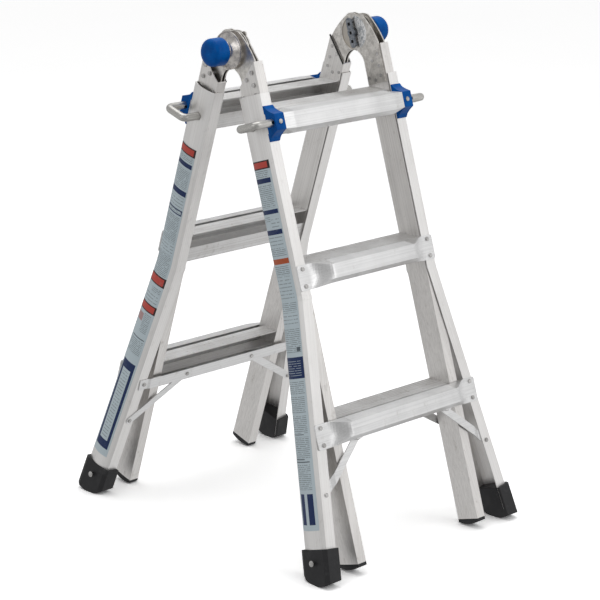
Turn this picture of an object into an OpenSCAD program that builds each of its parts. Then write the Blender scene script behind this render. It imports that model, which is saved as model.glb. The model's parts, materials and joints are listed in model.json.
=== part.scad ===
// Multi position ladder: two telescoping sections joined by locking hinges, drawn as it
// stands in its stepladder position. X runs along the rungs, Y is the spread, Z is up.
// The origin is on the floor below the middle of the hinge axis. The front section is
// climbed from -Y and the rear section is its mirror image.
//
// Each section is drawn in section coordinates: x along the rungs, n outward from the
// plane through the hinge axis to the climbing side, s down the rails from the hinge axis.

/* [Stance] */
// Height of the hinge axis above the floor
hinge_height = 981; // [979:1:1000]
// Angle of each section from upright
half_spread = 17.57; // [16:0.01:19]
// Distance between rungs
rung_pitch = 304.8; // [300:0.1:310]
// Distance from the hinge axis to the middle of the top rungs
top_rung_s = 154; // [152:1:158]

/* [Inner rails] */
// Distance from the middle of the ladder to the inner wall of an inner rail
inner_wall_x = 163.5; // [155:0.1:175]
// Width of an inner rail at its bowed wall
inner_rail_w = 24.2; // [23:0.1:24.4]
// Depth of an inner rail
inner_rail_depth = 54; // [52:0.5:54]
// Wall thickness of an inner rail
inner_rail_wall = 1.8; // [1.5:0.1:2]
// Bulge of the outer wall of an inner rail
inner_bow = 1.5; // [1:0.1:3]
// Distance from the hinge axis to the bottom end of an inner rail
inner_rail_end = 1023; // [1015:1:1028]

/* [Outer rails] */
// Depth of an outer rail
outer_rail_depth = 60; // [59:0.5:61]
// Wall thickness of an outer rail
outer_rail_wall = 2; // [1.8:0.1:2]
// Width of a flange of an outer rail
flange_w = 25; // [23:0.5:27]
// Bulge of the web of an outer rail
outer_bow = 7.5; // [6:0.5:9]
// Distance from the hinge axis to the top end of an outer rail
outer_rail_top = 96; // [94:1:100]
// Distance from the hinge axis to the bend where an outer rail flares
bend_s = 496; // [490:1:510]
// Angle of the flared part of an outer rail
flare = 8.53; // [7:0.01:9]
// Length of the flared part of an outer rail
flare_len = 530; // [526:1:532]

/* [Rungs] */
// Wall thickness of a rung
rung_wall = 2; // [1.5:0.1:2.2]
// Depth of the middle and bottom rungs of an outer section
outer_rung_depth = 25; // [22:0.5:28]
// Depth of the top rung of an outer section
top_rung_depth = 28.5; // [28:0.5:30]
// Number of grip ribs on a tread
ribs = 7; // [4:1:9]
// Height of a grip rib
rib_h = 0.8; // [0.4:0.1:1.2]

/* [Hinges] */
// Radius of the round head of a hinge plate
head_r = 37.5; // [37:0.1:38]
// Thickness of a hinge plate
plate_t = 3; // [2.5:0.1:3]
// Outer radius of the pivot tube
pivot_r = 11; // [10:0.5:12]
// Radius of the release shaft in the pivot tube
shaft_r = 6; // [5:0.5:7]
// Distance of each lock pin from the hinge axis
lock_pin_reach = 24; // [22:0.5:26]
// Radius of a hinge lock pin
lock_pin_r = 4; // [3:0.5:4.5]
// Radius of the release knob
knob_r = 27.5; // [26:0.5:29]

/* [Locks] */
// Radius of the bent lock rod
rod_r = 8; // [7:0.1:8.1]
// Distance the lock rod moves in from its released position to lock
rod_in = 17; // [12:0.5:17]
// Distance the lock rod can be pulled out further
rod_out = 8; // [4:0.5:8]
// Outward offset of the rod leg that enters the rails
rod_leg_n = 34; // [32:0.5:36]
// Outward offset of the rod leg held in the bracket
rod_held_n = 82.5; // [82:0.1:82.7]

/* [Feet] */
// Thickness of the rubber around the rail
foot_wall = 6.5; // [5:0.5:7]
// Radius of the rocking sole of a foot
sole_r = 66; // [62:1:80]
// Depth worn off the rocking sole where the foot stands as a stepladder
sole_flat = 0.8; // [0.5:0.1:1]

/* [Hidden] */
$fn = 96;
gap = 0.1;
fit = 0.05;
alu = [0.80, 0.80, 0.79];
worn_alu = [0.74, 0.73, 0.71];
zinc = [0.70, 0.71, 0.72];
blue = [0.03, 0.24, 0.62];
rubber = [0.07, 0.07, 0.08];

rail_mid_n = 36.5;
inner_n = rail_mid_n - inner_rail_depth / 2;
inner_front_n = rail_mid_n + inner_rail_depth / 2;
inner_outer_x = inner_wall_x + inner_rail_w;
outer_n = rail_mid_n - outer_rail_depth / 2;
outer_front_n = rail_mid_n + outer_rail_depth / 2;
corner_x = 190;
crease_len = 8;
crease_lap = 1;
crease_t = 0.4;
flange_x = corner_x - flange_w;
rung_s = [for (i = [0 : 2]) top_rung_s + i * rung_pitch];
front_n = outer_front_n + gap;

// Radius of an arc that bulges by sag over a chord
function arc_r(chord, sag) = (chord * chord / 4 + sag * sag) / (2 * sag);
inner_arc = arc_r(inner_rail_depth, inner_bow);
outer_arc = arc_r(outer_rail_depth, outer_bow);

// Offset of a closed outline into its own material
function unit(v) = v / norm(v);
function inward(p, q) = let (d = unit(q - p)) [-d.y, d.x];
function inset_point(a, b, c, t) =
    let (m = inward(a, b), k = inward(b, c)) b + t * (m + k) / (1 + m * k);
function inset(p, t) =
    let (l = len(p)) [for (i = [0 : l - 1]) inset_point(p[(i + l - 1) % l], p[i], p[(i + 1) % l], t)];

// Points of a row of ribs along the line from a to b, standing out on its right
function ribbed(a, b) =
    let (d = (b - a) / ribs, out = rib_h * unit([d.y, -d.x]))
    [for (i = [0 : ribs - 1], k = [0.2, 0.4, 0.6, 0.8])
        a + d * (i + k) + ((k == 0.4 || k == 0.6) ? out : [0, 0])];

// Overshoot of cutting shapes
over = 1;

// Play of the lock rod in its holes
rail_hole_r = rod_r + 0.6;
rail_hole_depth = 8;
bracket_hole_r = rod_r + 0.2;
lock_drop = 2;

// Inner rungs and end caps, measured from the middle of the rung
inner_rung_front_n = 58;
inner_rung_back_n = inner_n + 1.5;
groove_n = 54;
tread_back_up = 40;
tread_front_up = 25;
shelf_up = 8;
front_down = 14;
back_down = 24;
slant_front_s = 33;
slant_back_s = 76;
cap_plug = 20;
cap_h = 14;
cap_sole_r = 80;
cap_sole_s = inner_rail_end + 11 - cap_sole_r;

// Hinge stack, measured from the middle of the ladder
front_inner_plate_x = inner_wall_x - gap - plate_t;
rear_inner_plate_x = inner_wall_x + inner_rail_wall + gap;
front_outer_plate_x = 177.6;
rear_outer_plate_x = front_outer_plate_x - plate_t - 0.2;
housing_x = front_outer_plate_x + plate_t + gap;
housing_t = 2.5;
rim_x = 188.7;
rim_t = 2.4;
rim_overhang = 3;
cone_x = 198;
bulge_r = 180;
bulge_n = -113.3;
bulge_s = 77.3;
shoulder_r = 22;
shoulder_n = 17.1;
shoulder_s = -12.3;
shoulder_end_s = -23.4;
plate_out_n = 60.5;
plate_out_s = 30;
slim_top = [33.5, -14];
slim_low = [plate_out_n, 57];
lug_n = 27;
lug_s = -24;
lug_r = 6;
seat_front_r = 30;
seat_back_r = 34;
seat_depth = 1;
stop_n = 42;
stop_s = 17;
stop_r = 3;
stop_h = 1;
plate_in_n = inner_n + inner_rail_wall + 0.2;
arch_drop = 67.3;
arch_n = -arch_drop * sin(half_spread);
arch_s = arch_drop * cos(half_spread);
arch_r = plate_in_n - arch_n;
long_arm = 122;
short_arm = 112;
arm_rivets = [[52, 54], [35, 65], [51, 78], [51, 98], [17, 98], [34, 105]];
rivet_r = 2.5;
rivet_hole_r = rivet_r + fit;
rivet_head_r = 4.6;
rivet_head_h = 1.2;
rivet_crown_r = 3.4;
rivet_crown_h = 0.5;
rivet_tail_r = 3.6;
rivet_tail_h = 0.6;
foot_rivet_head_r = 6;
lock_travel = 6;
bar_t = 4;
bar_half = lock_pin_r + 3;
bar_boss = 3;
bar_x = front_inner_plate_x - lock_travel - gap;
collar_r = 20.4;
collar_wall = 2;
collar_x = 213;
knob_back_x = 206;
knob_rim_x = 229;
knob_top_x = 242;
knob_floor_x = 221.5;
knob_bore_r = collar_r + 0.6;
knob_round = 1.5;
knob_fullness = 0.55;
shaft_end_x = 227;
spigot_r = shaft_r - 2;
spring_sides = 6;
spring_steps = 16;
spring_seat = 1.8;
coil_turns = 6;
release_coil_gap = 4;
release_wire_r = 1.1;
lock_coil_gap = 0.85;
lock_wire_r = 0.7;

// Lock rods and brackets
lock_s = top_rung_s + lock_drop;
rod_bar_x = 233;
rod_bend_r = 9.5;
rod_tip_x = inner_outer_x + 0.8;
held_tip_x = 138;
washer_x = 142;
washer_t = 2;
washer_r = 9.8;
rod_slot = rivet_r + 0.4;
bracket_in_x = 165.5;
bracket_out_x = 190.5;
bracket_face_n = 94;
bracket_rivet_x = 177;
tab_t = 3;
top_tab_t = 2;
bracket_foot_half = 35;
bracket_face_half = 15.5;
bracket_lip = 1;
bracket_step = 2.5;
bracket_hollow = 0.6;
bracket_corner = 1.5;
socket_half = 19;

// Outer rungs: the face, the underside and the riveted tabs at the ends
rung_up = 24;
tread_fall = 0.38;
chamfer_down = 8;
chamfer_in = 11;
rung_down = 22;
top_rung_down = 27;
tab_half = 25;
tab_corner_r = 5;
tab_rivet_pitch = 34;
middle_bar_half = 112;
middle_tab_x = 162;
middle_tab_end_x = 191;
bottom_bar_half = 150;
bottom_tab_x = 201;
bottom_tab_end_x = 229.8;
top_bar_half = 140;
face_steps = 6;
swage_steps = 10;
hollow_steps = 5;
dent = 4;

// Bottom of the outer section
strap_s = rung_s[2] + 3.4;
strap_h = 24;
strap_t = 2;
strap_joggle = [195, 201];
strap_end_x = 224;
strap_rivet_x = 211.5;
brace_w = 16;
brace_t = 1.9;
brace_joggle = [202, 212];
brace_start = [6, 5];
brace_top_x = 128;
brace_tab_n = front_n + 8;
brace_tab_w = 13.5;
brace_low = [233, 874];
strap_brace_top = [93.5, strap_s];
strap_brace_low = [231, 853];
foot_rivet_s = 1004;
foot_rivet_grip = 22;
foot_face_x = corner_x + outer_bow + foot_wall;
sole_shift = 7;
sole_n = rail_mid_n + sole_r * sin(half_spread) - sole_shift;
sole_s = (hinge_height + sole_flat - sole_r + sole_n * sin(half_spread)) / cos(half_spread);
foot_top = 978;
foot_in_x = 200;
foot_out_x = 320;

// ---- Section coordinates ----

module front() {
    translate([0, 0, hinge_height])
        rotate([-half_spread, 0, 0])
            children();
}

module rear() {
    mirror([0, 1, 0])
        front() children();
}

module left() {
    mirror([1, 0, 0])
        children();
}

module both_sides() {
    children();
    left() children();
}

// Extrudes an (x, n) outline down the rail from s0 to s1
module along(s0, s1) {
    translate([0, 0, -s1])
        linear_extrude(s1 - s0)
            mirror([0, 1])
                children();
}

// Extrudes an (n, s) outline across the ladder from x0 to x1
module across(x0, x1) {
    translate([x0, 0, 0])
        rotate([90, 0, 90])
            linear_extrude(x1 - x0)
                rotate(180)
                    children();
}

// Round bar along x
module bar_x_dir(n, s, x0, x1, r) {
    translate([x0, -n, -s])
        rotate([0, 90, 0])
            cylinder(h = x1 - x0, r = r);
}

// Round bar along n
module bar_n_dir(x, s, n0, n1, r) {
    translate([x, -n1, -s])
        rotate([-90, 0, 0])
            cylinder(h = n1 - n0, r = r);
}

// The tilted frame of the flared part of a right outer rail
module flared() {
    translate([corner_x, 0, -bend_s])
        rotate([0, -flare, 0])
            translate([-corner_x, 0, bend_s])
                children();
}

// The frame of the mitre plane at the bend of a right outer rail
module half_flared() {
    translate([corner_x, 0, -bend_s])
        rotate([0, -flare / 2, 0])
            translate([-corner_x, 0, bend_s])
                children();
}

// Everything further down than a distance past the mitre plane
module past_bend(distance) {
    half_flared()
        translate([0, -outer_rail_depth * 2, -bend_s - distance - flare_len * 2])
            cube([corner_x * 2, outer_rail_depth * 3, flare_len * 2]);
}

// ---- Inner sections ----

module inner_rail_outline(t) {
    intersection() {
        translate([inner_wall_x + t, inner_n + t])
            square([inner_rail_w, inner_rail_depth - 2 * t]);
        translate([inner_outer_x - inner_arc, rail_mid_n])
            circle(r = inner_arc - t, $fn = 720);
    }
}

// Tops of the inner rails are cut on a slant that clears the hinge head
module slant_cut() {
    across(inner_wall_x - over, inner_outer_x + over)
        polygon([[0, 0], [inner_front_n + over, 0], [inner_front_n + over, slant_front_s],
            [inner_n - over, slant_back_s], [0, slant_back_s]]);
}

module arm_rivet_holes() {
    for (p = arm_rivets)
        bar_x_dir(p.x, p.y, front_inner_plate_x - over, inner_outer_x + over, rivet_hole_r);
}

module inner_rail() {
    color(worn_alu)
        difference() {
            along(0, inner_rail_end)
                difference() {
                    inner_rail_outline(0);
                    inner_rail_outline(inner_rail_wall);
                }
            slant_cut();
            arm_rivet_holes();
            for (s = rung_s)
                bar_x_dir(rod_leg_n, s + lock_drop,
                    inner_outer_x - rail_hole_depth, inner_outer_x + over, rail_hole_r);
        }
}

// Inner rungs: a ribbed tread over an open groove, with a closed box below it
module inner_rung_outline(s0) {
    tread_back = [inner_rung_back_n, s0 - tread_back_up];
    tread_front = [inner_rung_front_n, s0 - tread_front_up];
    shelf_back = [inner_rung_back_n, s0 - shelf_up];
    front_low = [inner_rung_front_n, s0 + front_down];
    back_low = [inner_rung_back_n, s0 + back_down];
    slope = (tread_front - tread_back) / (tread_front.x - tread_back.x);
    groove = slope * (groove_n - inner_rung_back_n);
    under = tread_back + [0, rung_wall];
    box_top = shelf_back + tread_front - tread_back;
    difference() {
        polygon(concat([tread_back], ribbed(tread_back, tread_front),
            [tread_front, front_low, back_low, shelf_back, shelf_back + groove, under + groove, under]));
        polygon(inset([shelf_back, box_top, front_low, back_low], rung_wall));
    }
}

module inner_rungs() {
    color(worn_alu)
        for (s = rung_s)
            across(-inner_wall_x + gap, inner_wall_x - gap)
                inner_rung_outline(s);
}

module inner_end_cap() {
    color(rubber)
        intersection() {
            union() {
                along(inner_rail_end - cap_plug, inner_rail_end + over)
                    inner_rail_outline(inner_rail_wall + gap);
                along(inner_rail_end + fit, inner_rail_end + cap_h)
                    inner_rail_outline(0);
            }
            bar_x_dir(rail_mid_n, cap_sole_s, inner_wall_x - over, inner_outer_x + over, cap_sole_r);
        }
}

// ---- Hinges ----

// Head and shoulder of a plate that bulges out over its rail
module full_shoulder(end_s) {
    circle(r = head_r);
    translate([shoulder_n, shoulder_s])
        circle(r = shoulder_r);
    intersection() {
        translate([bulge_n, bulge_s])
            circle(r = bulge_r);
        translate([0, shoulder_end_s])
            square([plate_out_n, plate_out_s - shoulder_end_s]);
    }
    translate([0, plate_out_s - fit])
        square([plate_out_n, end_s - plate_out_s + fit]);
}

// Head of a plate with a straight front edge and a small stop lug
module slim_shoulder(end_s) {
    circle(r = head_r);
    polygon([[0, 0], slim_top, slim_low, [plate_out_n, end_s], [0, end_s]]);
    translate([lug_n, lug_s])
        circle(r = lug_r);
}

module plate_outline(end_s, slim) {
    difference() {
        union() {
            if (slim)
                slim_shoulder(end_s);
            else
                full_shoulder(end_s);
        }
        translate([arch_n, arch_s])
            circle(r = arch_r);
        translate([plate_in_n - arch_r * 2, arch_s])
            square([arch_r * 2, end_s]);
    }
}

module hinge_plate(x0, end_s, bore, slim = false) {
    difference() {
        across(x0, x0 + plate_t)
            plate_outline(end_s, slim);
        bar_x_dir(0, 0, x0 - over, x0 + plate_t + over, bore);
        arm_rivet_holes();
    }
}

// Holes for the two lock pins, turned by an angle about the hinge axis
module lock_pin_holes(x0, turn) {
    for (a = [turn, turn + 180])
        rotate([a, 0, 0])
            bar_x_dir(0, lock_pin_reach, x0 - over, x0 + plate_t + over, lock_pin_r + 2 * gap);
}

// Half of the seat pressed into the inner plate on one side of the lock bar
module lock_seat(from_n, r) {
    intersection() {
        bar_x_dir(0, 0, front_inner_plate_x - over, front_inner_plate_x + seat_depth, r);
        across(front_inner_plate_x - over, front_inner_plate_x + seat_depth)
            translate([from_n, -head_r])
                square([head_r, 2 * head_r]);
    }
}

// The inner plate is slim on the left, and has a full shoulder and a stop button on the right
module front_hinge_plates(slim) {
    seat_edge = bar_half + over;
    color(zinc) {
        difference() {
            hinge_plate(front_inner_plate_x, short_arm, pivot_r + fit, slim);
            lock_pin_holes(front_inner_plate_x, 0);
            lock_seat(seat_edge, seat_front_r);
            lock_seat(-seat_edge - head_r, seat_back_r);
        }
        if (!slim)
            bar_x_dir(stop_n, stop_s, front_inner_plate_x - stop_h, front_inner_plate_x + fit, stop_r);
        hinge_plate(front_outer_plate_x, long_arm, pivot_r + fit);
    }
}

// The lock pins meet these holes with the ladder open as a stepladder, folded and straight
module rear_hinge_plates() {
    color(zinc) {
        difference() {
            hinge_plate(rear_inner_plate_x, long_arm, pivot_r + fit);
            lock_pin_holes(rear_inner_plate_x, 0);
            lock_pin_holes(rear_inner_plate_x, 2 * half_spread);
        }
        hinge_plate(rear_outer_plate_x, long_arm, pivot_r + fit);
    }
}

// A rivet that grips a stack of the given thickness, along +z with its head on top
module rivet(grip, head_r = rivet_head_r) {
    translate([0, 0, -fit])
        cylinder(h = grip + 2 * fit, r = rivet_r);
    translate([0, 0, -fit - rivet_tail_h])
        cylinder(h = rivet_tail_h, r = rivet_tail_r);
    translate([0, 0, grip + fit])
        cylinder(h = rivet_head_h, r = head_r);
    translate([0, 0, grip + fit + rivet_head_h])
        cylinder(h = rivet_crown_h, r = rivet_crown_r);
}

// Rivets whose heads face away from the middle, outward, towards the other section and down
module rivet_x(n, s, x0, x1, head_r = rivet_head_r) {
    translate([x0, -n, -s])
        rotate([0, 90, 0])
            rivet(x1 - x0, head_r);
}

module rivet_out(x, s, n0, n1) {
    translate([x, -n0, -s])
        rotate([90, 0, 0])
            rivet(n1 - n0);
}

module rivet_back(x, s, n0, n1) {
    translate([x, -n1, -s])
        rotate([-90, 0, 0])
            rivet(n1 - n0);
}

module rivet_down(x, n, s0, s1) {
    translate([x, -n, -s0])
        rotate([180, 0, 0])
            rivet(s1 - s0);
}

module arm_rivet_group(inner_face) {
    color(zinc)
        for (p = arm_rivets)
            rivet_x(p.x, p.y, inner_face, inner_outer_x);
}

module pivot_tube() {
    head_x = housing_x + housing_t + fit;
    head_t = 1.5;
    head_lip = 3;
    color(zinc)
        difference() {
            union() {
                bar_x_dir(0, 0, front_inner_plate_x, head_x, pivot_r);
                bar_x_dir(0, 0, head_x, head_x + head_t, pivot_r + head_lip);
            }
            bar_x_dir(0, 0, front_inner_plate_x - over, head_x + head_t + over, shaft_r + fit);
        }
}

module hinge_spacer() {
    spacer_wall = 5;
    color(zinc)
        difference() {
            bar_x_dir(0, 0, rear_inner_plate_x + plate_t + fit, rear_outer_plate_x - fit,
                pivot_r + spacer_wall);
            bar_x_dir(0, 0, rear_inner_plate_x, rear_outer_plate_x, pivot_r + fit);
        }
}

// Outline of a turned part, as [distance from the middle of the ladder, radius] points
module turned(points) {
    rotate([0, 90, 0])
        rotate_extrude()
            polygon([for (p = points) [p.y, p.x]]);
}

// A shallow drum with an overhanging rim, a conical face and a collar for the release knob
module hinge_housing() {
    drum_r = head_r - rim_overhang;
    lip = 1.2;
    wall = 2;
    base = housing_x + housing_t;
    collar_in = collar_r - collar_wall;
    color(zinc)
        turned([[housing_x, pivot_r + fit], [housing_x, drum_r], [rim_x - rim_t, drum_r],
            [rim_x - rim_t, head_r], [rim_x, head_r], [rim_x, head_r - lip],
            [rim_x - lip, head_r - 2 * lip], [cone_x, collar_r], [collar_x, collar_r],
            [collar_x, collar_in], [cone_x - collar_wall, collar_in],
            [rim_x - wall - lip, drum_r - wall], [base, drum_r - wall], [base, pivot_r + fit]]);
}

module release_knob() {
    color(blue)
        turned(concat([[shaft_end_x + gap, 0], [shaft_end_x + gap, shaft_r + fit],
            [knob_floor_x, shaft_r + fit], [knob_floor_x, knob_bore_r], [knob_back_x, knob_bore_r],
            [knob_back_x, knob_r - knob_round], [knob_back_x + knob_round, knob_r]],
            [for (a = [0 : 10 : 90])
                [knob_rim_x + (knob_top_x - knob_rim_x) * sin(a), knob_r * pow(cos(a), knob_fullness)]]));
}

// The shaft carries the lock bar on a spigot
module release_shaft() {
    color(zinc) {
        bar_x_dir(0, 0, bar_x, shaft_end_x, shaft_r);
        bar_x_dir(0, 0, bar_x - bar_t, bar_x, spigot_r);
    }
}

module lock_bar() {
    color(zinc)
        difference() {
            union() {
                across(bar_x - bar_t, bar_x - fit) {
                    translate([-bar_half, -lock_pin_reach])
                        square([2 * bar_half, 2 * lock_pin_reach]);
                    for (s = [-lock_pin_reach, lock_pin_reach])
                        translate([0, s])
                            circle(r = bar_half);
                    circle(r = shaft_r + bar_boss);
                }
                for (s = [-lock_pin_reach, lock_pin_reach])
                    bar_x_dir(0, s, bar_x - bar_t / 2, inner_wall_x - 2 * gap, lock_pin_r);
            }
            bar_x_dir(0, 0, bar_x - bar_t - over, bar_x + over, spigot_r + fit);
        }
}

// Closed skin over a row of rings that have n points each
module skin(points, n) {
    last = len(points) / n - 1;
    first_end = [for (k = [0 : n - 1]) k];
    last_end = [for (k = [n - 1 : -1 : 0]) last * n + k];
    sides = [for (i = [0 : last - 1], k = [0 : n - 1])
        let (j = (k + 1) % n, a = i * n)
        each [[a + k, a + n + j, a + j], [a + k, a + n + k, a + n + j]]];
    polyhedron(points = points, faces = concat([first_end], sides, [last_end]), convexity = 10);
}

// A helical spring along x from x0 to x1
module spring(x0, x1, coil_r, wire_r, turns) {
    steps = spring_steps * turns;
    skin([for (i = [0 : steps], k = [0 : spring_sides - 1])
        let (a = 360 * turns * i / steps, b = 360 * k / spring_sides, r = coil_r + wire_r * cos(b))
        [x0 + wire_r + (x1 - x0 - 2 * wire_r) * i / steps + wire_r * sin(b), r * cos(a), r * sin(a)]],
        spring_sides);
}

module knob_spring() {
    color(zinc)
        spring(housing_x + housing_t + spring_seat, knob_floor_x - gap,
            shaft_r + release_coil_gap, release_wire_r, coil_turns);
}

// ---- Outer sections ----

module outer_rail_outline(t) {
    intersection() {
        translate([flange_x - 1, outer_n + t])
            square([flange_w + outer_bow + 2, outer_rail_depth - 2 * t]);
        translate([corner_x + outer_bow - outer_arc, rail_mid_n])
            circle(r = outer_arc - t, $fn = 360);
    }
}

// The channel, with its walls thicker by extra on both faces
module outer_rail_section(extra) {
    intersection() {
        difference() {
            outer_rail_outline(-extra);
            outer_rail_outline(outer_rail_wall + extra);
        }
        translate([flange_x - extra, outer_n - 1])
            square([flange_w * 2, outer_rail_depth + 2]);
    }
}

// Holes for the rung rivets, two to a rung
module rung_rivet_spots() {
    ends = [(middle_tab_x + middle_tab_end_x) / 2, (bottom_tab_x + bottom_tab_end_x) / 2];
    for (i = [0, 1], side = [-0.5, 0.5])
        translate([ends[i], 0, -rung_s[i + 1] + side * tab_rivet_pitch])
            children();
}

// Rivet holes through the front flange and through the flange that faces the other section
module front_hole(x, s) {
    bar_n_dir(x, s, outer_front_n - outer_rail_wall - over, bracket_face_n + over, rivet_hole_r);
}

module back_hole(x, s) {
    bar_n_dir(x, s, -over, outer_n + outer_rail_wall + over, rivet_hole_r);
}

module outer_rail() {
    color(alu)
        difference() {
            union() {
                difference() {
                    along(outer_rail_top, bend_s + crease_len)
                        outer_rail_section(0);
                    past_bend(-crease_lap);
                }
                intersection() {
                    flared()
                        along(bend_s - crease_len, bend_s + flare_len)
                            outer_rail_section(0);
                    past_bend(crease_lap);
                }
                half_flared()
                    along(bend_s - crease_len / 2, bend_s + crease_len / 2)
                        outer_rail_section(crease_t);
            }
            bar_x_dir(rod_leg_n, lock_s, corner_x - over, corner_x + outer_bow + over, rail_hole_r);
            front_hole(bracket_rivet_x, lock_s);
            rung_rivet_spots()
                front_hole(0, 0);
            front_hole(brace_low.x, brace_low.y);
            back_hole(strap_rivet_x, strap_s);
            back_hole(strap_brace_low.x, strap_brace_low.y);
            flared()
                bar_x_dir(rail_mid_n, foot_rivet_s, corner_x, corner_x + outer_bow + over, rivet_hole_r);
        }
}

// Side outline of an outer rung: a level tread, an upright face and a chamfer below
function outer_rung(s0, depth, low) = [
    [front_n, s0 - rung_up],
    [front_n + depth, s0 - rung_up + depth * tread_fall],
    [front_n + depth, s0 + low - chamfer_down],
    [front_n + depth - chamfer_in, s0 + low],
    [front_n, s0 + low]
];

module rung_bar(p, half) {
    across(-half, half)
        difference() {
            polygon(concat([p[0]], ribbed(p[0], p[1]), [for (i = [1 : len(p) - 1]) p[i]]));
            polygon(inset(p, rung_wall));
        }
}

// A thin slice used to blend one end of a rung into another shape
module slice(x0, points) {
    across(x0, x0 + gap)
        polygon(points);
}

// Outline of the flat tab of a rung, matched to the corners of the bar
function swage_tab(s0) = [
    [front_n, s0 - tab_half], [front_n + tab_t, s0 - tab_half],
    [front_n + tab_t, s0 + tab_half - tab_corner_r], [front_n + tab_t, s0 + tab_half], [front_n, s0 + tab_half]
];

// Outline a part t of the way along a swaged end, from the bar outline p to the flat tab
function swage_ring(p, s0, t) =
    let (
        ease = t * t * (3 - 2 * t),
        q = p + ease * (swage_tab(s0) - p),
        face = [for (i = [0 : face_steps])
            q[1] + (q[2] - q[1]) * i / face_steps
            - [dent * pow(sin(180 * t), 2) * sin(180 * i / face_steps), 0]]
    )
    concat([q[0]], face, [q[3], q[4]]);
function ring_points(x, ring) = [for (p = ring) [x, -p.x, -p.y]];

// Swaged end of a rung: the hollow bar is pressed flat into a riveted tab
module swaged_end(p, s0, from_x, to_x, tab_end) {
    tab_w = tab_end - to_x;
    ring_size = face_steps + 4;
    difference() {
        union() {
            skin(concat(
                ring_points(from_x - gap, swage_ring(p, s0, 0)),
                [for (i = [0 : swage_steps])
                    each ring_points(from_x + (to_x - from_x) * i / swage_steps,
                        swage_ring(p, s0, i / swage_steps))],
                ring_points(to_x + gap, swage_ring(p, s0, 1))), ring_size);
            translate([to_x, -front_n - tab_t, -s0 - tab_half + tab_corner_r])
                cube([tab_w, tab_t, 2 * (tab_half - tab_corner_r)]);
            translate([to_x, -front_n - tab_t, -s0 - tab_half])
                cube([tab_w - tab_corner_r, tab_t, 2 * tab_half]);
            for (side = [-1, 1])
                bar_n_dir(tab_end - tab_corner_r, s0 + side * (tab_half - tab_corner_r),
                    front_n, front_n + tab_t, tab_corner_r);
        }
        skin(concat(
            ring_points(from_x - over, inset(swage_ring(p, s0, 0), rung_wall)),
            [for (i = [0 : hollow_steps])
                each ring_points(from_x + (to_x - from_x) * i / swage_steps,
                    inset(swage_ring(p, s0, i / swage_steps), rung_wall))]), ring_size);
        for (side = [-0.5, 0.5])
            front_hole(to_x + tab_w / 2, s0 + side * tab_rivet_pitch);
    }
}

module swaged_rung(s0, from_x, to_x, tab_end) {
    p = outer_rung(s0, outer_rung_depth, rung_down);
    color(alu) {
        rung_bar(p, from_x);
        both_sides()
            swaged_end(p, s0, from_x, to_x, tab_end);
    }
}

module outer_middle_rung() {
    swaged_rung(rung_s[1], middle_bar_half, middle_tab_x, middle_tab_end_x);
}

module outer_bottom_rung() {
    difference() {
        swaged_rung(rung_s[2], bottom_bar_half, bottom_tab_x, bottom_tab_end_x);
        both_sides()
            brace_tab_hole();
    }
}

// Rivet hole down through the underside of the bottom rung and the tab of a brace
module brace_tab_hole() {
    translate([brace_top_x, -brace_tab_n, -rung_s[2] - rung_down - brace_t - over])
        cylinder(h = rung_wall + brace_t + 2 * over, r = rivet_hole_r);
}

// Top rung: its ends narrow into the lock brackets and leave a flat tab on the rail
module outer_top_rung() {
    p = outer_rung(rung_s[0], top_rung_depth, top_rung_down);
    small = [
        [front_n, lock_s - socket_half],
        [bracket_face_n, lock_s - bracket_face_half],
        [bracket_face_n, lock_s + bracket_face_half],
        [front_n, lock_s + socket_half]
    ];
    end_wall = 1.2;
    end_x = bracket_in_x - gap;
    color(alu) {
        rung_bar(p, top_bar_half);
        both_sides()
            difference() {
                union() {
                    hull() {
                        slice(top_bar_half - gap, p);
                        slice(end_x - gap, small);
                    }
                    translate([top_bar_half, -front_n - top_tab_t, -lock_s - socket_half])
                        cube([corner_x - top_bar_half, top_tab_t, 2 * socket_half]);
                }
                hull() {
                    slice(top_bar_half - 2 * gap, inset(p, rung_wall));
                    slice(end_x, inset(small, end_wall));
                }
                front_hole(bracket_rivet_x, lock_s);
            }
    }
}

module strap() {
    inner_face = outer_n - gap - strap_t;
    bend_in = strap_joggle[0];
    bend_out = strap_joggle[1];
    profile = [
        [0, inner_face - strap_t], [bend_in + over, inner_face - strap_t], [bend_out + over, inner_face],
        [strap_end_x, inner_face], [strap_end_x, inner_face + strap_t], [bend_out, inner_face + strap_t],
        [bend_in, inner_face], [0, inner_face]
    ];
    color(alu)
        difference() {
            both_sides()
                along(strap_s - strap_h / 2, strap_s + strap_h / 2)
                    polygon(profile);
            both_sides() {
                back_hole(strap_rivet_x, strap_s);
                back_hole(strap_brace_top.x, strap_s);
            }
        }
}

// Flat strip with rounded ends between two (x, s) points, lying from n0 to n0 + t
module strip(a, b, n0, t) {
    d = b - a;
    bar_n_dir(a.x, a.y, n0, n0 + t, brace_w / 2);
    bar_n_dir(b.x, b.y, n0, n0 + t, brace_w / 2);
    translate([a.x, -n0 - t, -a.y])
        rotate([0, atan2(d.y, d.x), 0])
            translate([0, 0, -brace_w / 2])
                cube([norm(d), t, brace_w]);
}

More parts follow.
